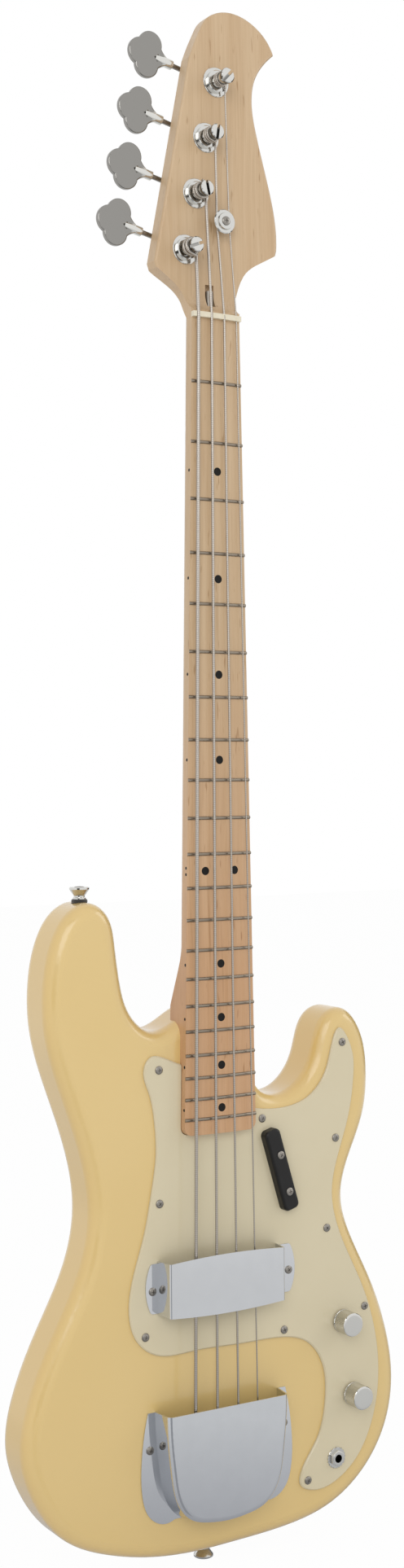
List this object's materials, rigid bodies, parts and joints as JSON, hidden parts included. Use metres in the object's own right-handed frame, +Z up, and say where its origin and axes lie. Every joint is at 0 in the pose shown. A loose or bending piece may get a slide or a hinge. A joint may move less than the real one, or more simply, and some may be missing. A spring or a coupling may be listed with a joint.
{
  "type": "electric bass guitar",
  "caption": "Solid-body electric bass guitar with a bolt-on maple neck, open-gear tuners, chromed pickup and bridge covers and a screwed pickguard.",
  "frame": {"origin": "centre of the lower strap button's seat on the body's tail, in the middle of the body's thickness", "axes": "+Z up along the neck, +Y to the back of the instrument, +X to the treble side"},
  "size_m": [0.3325, 0.0664, 1.1935],
  "materials": {
    "lacquer": "cream gloss lacquer over solid wood",
    "maple": "clear gloss lacquer on maple",
    "walnut": "clear gloss lacquer on walnut",
    "bone": "polished",
    "dots": "sanded flush",
    "nickel": "bright nickel plate",
    "cover_plate": "bright chrome plate",
    "steel": "plain steel",
    "fret_wire": "polished nickel silver",
    "string_wire": "wound nickel steel",
    "brass": "machined",
    "guard_plastic": "aged white plastic sheet",
    "black_plastic": "moulded",
    "pickup_fibre": "black fibre and tape",
    "wire_cloth": "waxed cloth covering",
    "capacitor_film": "dipped",
    "felt": "pressed felt"
  },
  "bodies": {
    "instrument": {"body": "lacquer", "neck": "maple", "skunk_stripe": "walnut", "truss_rod": "steel", "truss_rod_nut": "steel", "frets": "fret_wire", "position_dots": "dots", "nut": "bone", "string_tree": "nickel", "tuner_bushings": "nickel", "tuner_plates": "nickel", "tuner_screws": "nickel", "string_e": "string_wire", "string_a": "string_wire", "string_d": "string_wire", "string_g": "string_wire", "bridge_plate": "nickel", "saddles": "steel", "saddle_height_screws": "steel", "intonation_screws": "nickel", "intonation_springs": "steel", "bridge_screws": "nickel", "bridge_cover": "cover_plate", "pickup_cover": "cover_plate", "cover_and_rest_screws": "nickel", "pickguard": "guard_plastic", "guard_and_pickup_screws": "nickel", "thumb_rest": "black_plastic", "pickup": "pickup_fibre", "pole_pieces": "steel", "pots": "nickel", "control_nuts": "nickel", "jack_socket": "nickel", "wiring": "wire_cloth", "capacitor": "capacitor_film", "strap_buttons": "nickel", "strap_washers": "felt", "strap_and_tree_screws": "nickel", "neck_plate": "nickel", "neck_bolts": "nickel"},
    "key_e": {"key_e": "nickel", "worm_e": "steel"},
    "post_e": {"post_e": "nickel", "wheel_e": "brass"},
    "key_a": {"key_a": "nickel", "worm_a": "steel"},
    "post_a": {"post_a": "nickel", "wheel_a": "brass"},
    "key_d": {"key_d": "nickel", "worm_d": "steel"},
    "post_d": {"post_d": "nickel", "wheel_d": "brass"},
    "key_g": {"key_g": "nickel", "worm_g": "steel"},
    "post_g": {"post_g": "nickel", "wheel_g": "brass"},
    "volume_control": {"volume_knob": "nickel", "volume_shaft": "brass"},
    "tone_control": {"tone_knob": "nickel", "tone_shaft": "brass"}
  },
  "joints": [
    {"name": "key_e_turn", "type": "hinge", "parent": "instrument", "child": "key_e", "pos_m": [-0.01925, -0.00225, 1.00172], "axis": [-0.9781, 0, 0.2079], "continuous": true},
    {"name": "post_e_turn", "type": "hinge", "parent": "instrument", "child": "post_e", "pos_m": [-0.021, -0.00225, 0.9935], "axis": [0, 1, 0], "continuous": true},
    {"name": "key_a_turn", "type": "hinge", "parent": "instrument", "child": "key_a", "pos_m": [-0.00994, -0.00225, 1.04554], "axis": [-0.9781, 0, 0.2079], "continuous": true},
    {"name": "post_a_turn", "type": "hinge", "parent": "instrument", "child": "post_a", "pos_m": [-0.01169, -0.00225, 1.03732], "axis": [0, 1, 0], "continuous": true},
    {"name": "key_d_turn", "type": "hinge", "parent": "instrument", "child": "key_d", "pos_m": [-0.00063, -0.00225, 1.08936], "axis": [-0.9781, 0, 0.2079], "continuous": true},
    {"name": "post_d_turn", "type": "hinge", "parent": "instrument", "child": "post_d", "pos_m": [-0.00237, -0.00225, 1.08114], "axis": [0, 1, 0], "continuous": true},
    {"name": "key_g_turn", "type": "hinge", "parent": "instrument", "child": "key_g", "pos_m": [0.00869, -0.00225, 1.13318], "axis": [-0.9781, 0, 0.2079], "continuous": true},
    {"name": "post_g_turn", "type": "hinge", "parent": "instrument", "child": "post_g", "pos_m": [0.00694, -0.00225, 1.12496], "axis": [0, 1, 0], "continuous": true},
    {"name": "volume_turn", "type": "hinge", "parent": "instrument", "child": "volume_control", "pos_m": [0.115, -0.022, 0.16], "axis": [0, 1, 0], "range_deg": [-150, 150]},
    {"name": "tone_turn", "type": "hinge", "parent": "instrument", "child": "tone_control", "pos_m": [0.1245, -0.022, 0.1005], "axis": [0, 1, 0], "range_deg": [-150, 150]}
  ],
  "couplings": [
    {"joint": "post_e_turn", "follows": "key_e_turn", "ratio": 0.0625},
    {"joint": "post_a_turn", "follows": "key_a_turn", "ratio": 0.0625},
    {"joint": "post_d_turn", "follows": "key_d_turn", "ratio": 0.0625},
    {"joint": "post_g_turn", "follows": "key_g_turn", "ratio": 0.0625}
  ]
}
